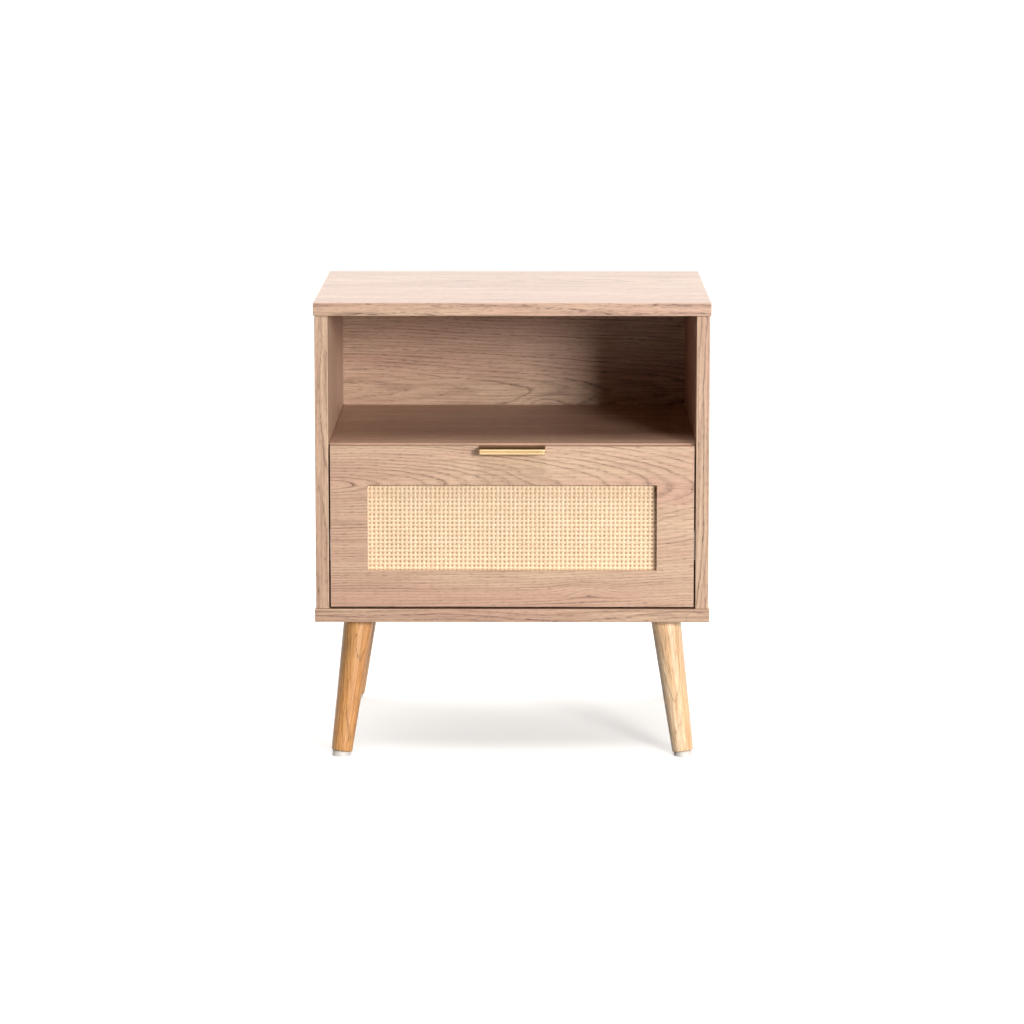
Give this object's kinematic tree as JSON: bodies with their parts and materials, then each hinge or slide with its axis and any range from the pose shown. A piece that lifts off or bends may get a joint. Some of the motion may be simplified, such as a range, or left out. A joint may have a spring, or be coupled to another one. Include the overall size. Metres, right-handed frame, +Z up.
{
  "type": "nightstand",
  "caption": "Oak-finish nightstand with a woven cane drawer, an open compartment above it, a brass edge pull and splayed tapered wooden legs.",
  "frame": {"origin": "middle of the base of the whole object's box, on the floor; the box includes the pull, which stands out 19 mm in front of the top board", "axes": "+Z up, the front with the drawer faces -Y, +X to the right of someone who faces the drawer"},
  "size_m": [0.45, 0.419, 0.5246],
  "materials": {
    "oak_board": "satin oak melamine with embossed grain",
    "oak_back": "satin oak-faced thin board",
    "drawer_board": "matte pale drawer board",
    "backing": "matte thin board",
    "leg_wood": "satin lacquer over solid wood",
    "cane": "natural woven cane",
    "brass": "satin brushed",
    "zinc_steel": "bright zinc plate",
    "cast_zinc": "as cast",
    "nylon": "matte"
  },
  "bodies": {
    "cabinet": {"back_panel": "oak_back", "board_screw_front_left": "zinc_steel", "board_screw_front_right": "zinc_steel", "board_screw_rear_left": "zinc_steel", "board_screw_rear_right": "zinc_steel", "bottom_panel": "oak_board", "glide_front_left": "nylon", "glide_front_right": "nylon", "glide_rear_left": "nylon", "glide_rear_right": "nylon", "leg_bolt_front_left": "zinc_steel", "leg_bolt_front_right": "zinc_steel", "leg_bolt_rear_left": "zinc_steel", "leg_bolt_rear_right": "zinc_steel", "leg_front_left": "leg_wood", "leg_front_right": "leg_wood", "leg_plate_front_left": "zinc_steel", "leg_plate_front_right": "zinc_steel", "leg_plate_rear_left": "zinc_steel", "leg_plate_rear_right": "zinc_steel", "leg_rear_left": "leg_wood", "leg_rear_right": "leg_wood", "runner_case_member_left": "zinc_steel", "runner_case_member_right": "zinc_steel", "shelf_front_left_bolt": "zinc_steel", "shelf_front_left_cam": "cast_zinc", "shelf_front_right_bolt": "zinc_steel", "shelf_front_right_cam": "cast_zinc", "shelf_panel": "oak_board", "shelf_rear_left_bolt": "zinc_steel", "shelf_rear_left_cam": "cast_zinc", "shelf_rear_right_bolt": "zinc_steel", "shelf_rear_right_cam": "cast_zinc", "side_panel_left": "oak_board", "side_panel_right": "oak_board", "top_front_left_bolt": "zinc_steel", "top_front_left_cam": "cast_zinc", "top_front_right_bolt": "zinc_steel", "top_front_right_cam": "cast_zinc", "top_panel": "oak_board", "top_rear_left_bolt": "zinc_steel", "top_rear_left_cam": "cast_zinc", "top_rear_right_bolt": "zinc_steel", "top_rear_right_cam": "cast_zinc"},
    "drawer": {"cane_backing_board": "backing", "cane_sheet": "cane", "drawer_back": "drawer_board", "drawer_bottom": "backing", "drawer_front": "oak_board", "drawer_side_left": "drawer_board", "drawer_side_right": "drawer_board", "pull": "brass", "pull_screw_left": "zinc_steel", "pull_screw_right": "zinc_steel", "runner_drawer_member_left": "zinc_steel", "runner_drawer_member_right": "zinc_steel"},
    "left_runner_carriage": {"runner_carriage_left": "zinc_steel"},
    "right_runner_carriage": {"runner_carriage_right": "zinc_steel"}
  },
  "joints": [
    {"name": "drawer_slide", "type": "slide", "parent": "cabinet", "child": "drawer", "axis": [0, -1, 0], "range_m": [0, 0.28]},
    {"name": "left_carriage_slide", "type": "slide", "parent": "cabinet", "child": "left_runner_carriage", "axis": [0, -1, 0], "range_m": [0, 0.14]},
    {"name": "right_carriage_slide", "type": "slide", "parent": "cabinet", "child": "right_runner_carriage", "axis": [0, -1, 0], "range_m": [0, 0.14]}
  ],
  "couplings": [
    {"joint": "left_carriage_slide", "follows": "drawer_slide", "ratio": 0.5},
    {"joint": "right_carriage_slide", "follows": "drawer_slide", "ratio": 0.5}
  ]
}
